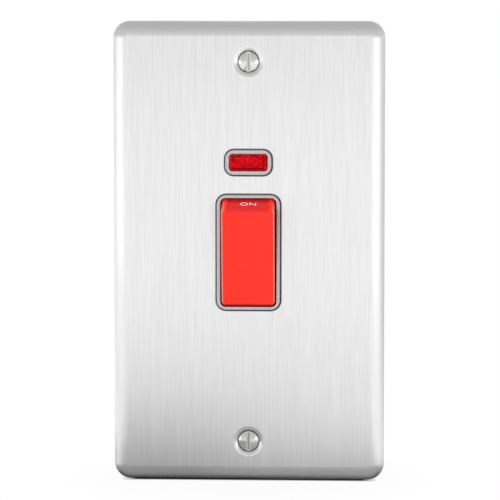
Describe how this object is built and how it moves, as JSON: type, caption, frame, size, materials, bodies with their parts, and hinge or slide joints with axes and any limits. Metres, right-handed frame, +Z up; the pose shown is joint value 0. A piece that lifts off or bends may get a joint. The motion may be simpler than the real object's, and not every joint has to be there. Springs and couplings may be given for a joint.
{
  "type": "cooker switch",
  "caption": "Upright wall switch for a cooker: satin steel plate with rolled edges, a red rocker in a grey collar, a neon window above it and slotted fixing screws.",
  "frame": {"origin": "midway between the two fixing screws, on the wall plane that the rim of the plate rests on", "axes": "+Z up, +X to the right as seen from the front, +Y into the wall"},
  "size_m": [0.086, 0.0335, 0.146],
  "materials": {
    "satin_steel": "vertical satin grain",
    "plated_screw": "nickel plated",
    "zinc_steel": "zinc plated",
    "grey_moulding": "fine satin",
    "red_moulding": "smooth satin gloss",
    "acetal": "natural white",
    "spring_steel": "bright wire",
    "copper": "rolled copper",
    "silver": "silver contact",
    "brass": "machined",
    "dark_moulding": "thermoset moulding",
    "red_lens": "translucent, prismatic inside",
    "lamp_glass": "clear",
    "resistor_body": "lacquered",
    "lead_sleeve": "white insulation"
  },
  "bodies": {
    "switch": {"front_plate": "satin_steel", "fixing_screws": "plated_screw", "weld_studs": "zinc_steel", "stud_washers": "zinc_steel", "stud_nuts": "zinc_steel", "insert_frame": "grey_moulding", "fixed_tips": "silver", "load_terminal_left": "brass", "load_terminal_right": "brass", "supply_terminal_left": "brass", "supply_terminal_right": "brass", "terminal_screws": "zinc_steel", "switch_base": "dark_moulding", "base_screws": "zinc_steel", "neon_lens": "red_lens", "neon_lamp": "lamp_glass", "neon_electrodes": "zinc_steel", "neon_resistor": "resistor_body", "neon_leads": "lead_sleeve", "neon_cover": "grey_moulding", "earth_terminal": "brass", "earth_screw": "zinc_steel"},
    "rocker": {"rocker": "red_moulding", "plunger_spring_left": "spring_steel", "plunger_spring_right": "spring_steel"},
    "plunger_left": {"plunger_left": "acetal"},
    "plunger_right": {"plunger_right": "acetal"},
    "contacts": {"contact_arm_left": "copper", "contact_arm_right": "copper", "moving_tips": "silver"}
  },
  "joints": [
    {"name": "rocker_hinge", "type": "hinge", "parent": "switch", "child": "rocker", "pos_m": [0, 0.0019, 0], "axis": [-1, 0, 0], "range_deg": [0, 14]},
    {"name": "contacts_hinge", "type": "hinge", "parent": "switch", "child": "contacts", "pos_m": [0, 0.0155, 0], "axis": [-1, 0, 0], "range_deg": [-19.6, 0]},
    {"name": "plunger_left_slide", "type": "slide", "parent": "rocker", "child": "plunger_left", "axis": [0, -0.9925, -0.1219], "range_m": [0, 0.001], "stiffness_N_per_m": 400, "deforming": ["plunger_spring_left"]},
    {"name": "plunger_right_slide", "type": "slide", "parent": "rocker", "child": "plunger_right", "axis": [0, -0.9925, -0.1219], "range_m": [0, 0.001], "stiffness_N_per_m": 400, "deforming": ["plunger_spring_right"]}
  ],
  "couplings": [
    {"joint": "contacts_hinge", "follows": "rocker_hinge", "ratio": -1.4}
  ]
}
